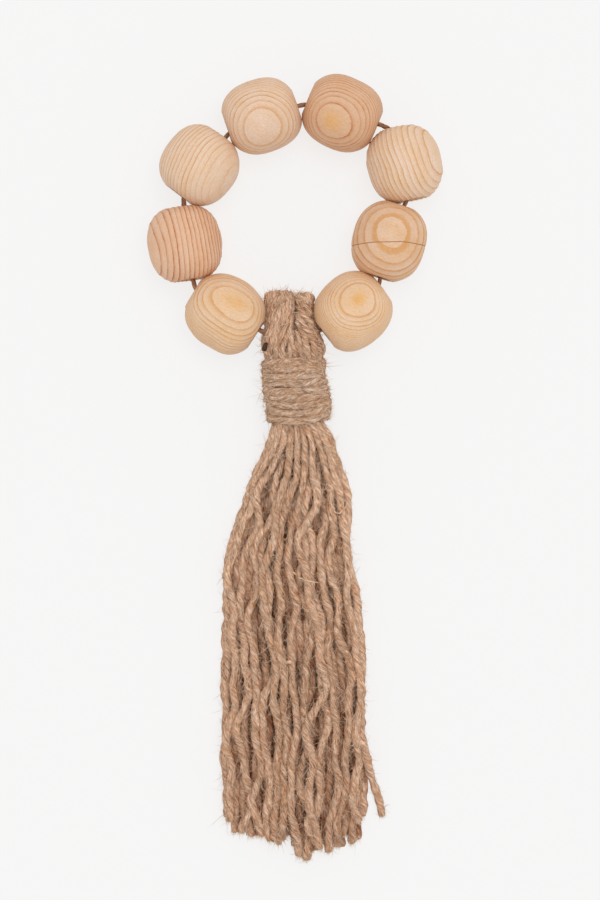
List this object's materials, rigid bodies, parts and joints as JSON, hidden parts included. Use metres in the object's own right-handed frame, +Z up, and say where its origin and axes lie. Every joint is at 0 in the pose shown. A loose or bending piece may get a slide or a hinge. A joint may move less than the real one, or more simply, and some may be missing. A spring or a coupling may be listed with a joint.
{
  "type": "wooden bead ring with a jute tassel",
  "caption": "Tassel of jute twine folded over a closed ring of turned wooden beads, bound at its neck, lying flat; hangs on a knob or hook, or ties back cloth.",
  "frame": {"origin": "centre of the footprint, on the surface that the part lies on", "axes": "+Y from the cut ends towards the bead ring, +Z up away from the surface"},
  "size_m": [0.1145, 0.3072, 0.0284],
  "materials": {
    "pine": "sanded, unvarnished softwood with raised rings",
    "jute": "hairy three-ply twine",
    "wrap": "hairy three-ply twine, wound",
    "ring_cord": "plain twine"
  },
  "bodies": {
    "root": {"bead_1": "pine", "bead_2": "pine", "bead_3": "pine", "bead_4": "pine", "bead_5": "pine", "bead_6": "pine", "bead_7": "pine", "bead_8": "pine", "ring_cord": "ring_cord", "tassel": "jute", "wrap": "wrap"}
  },
  "joints": []
}
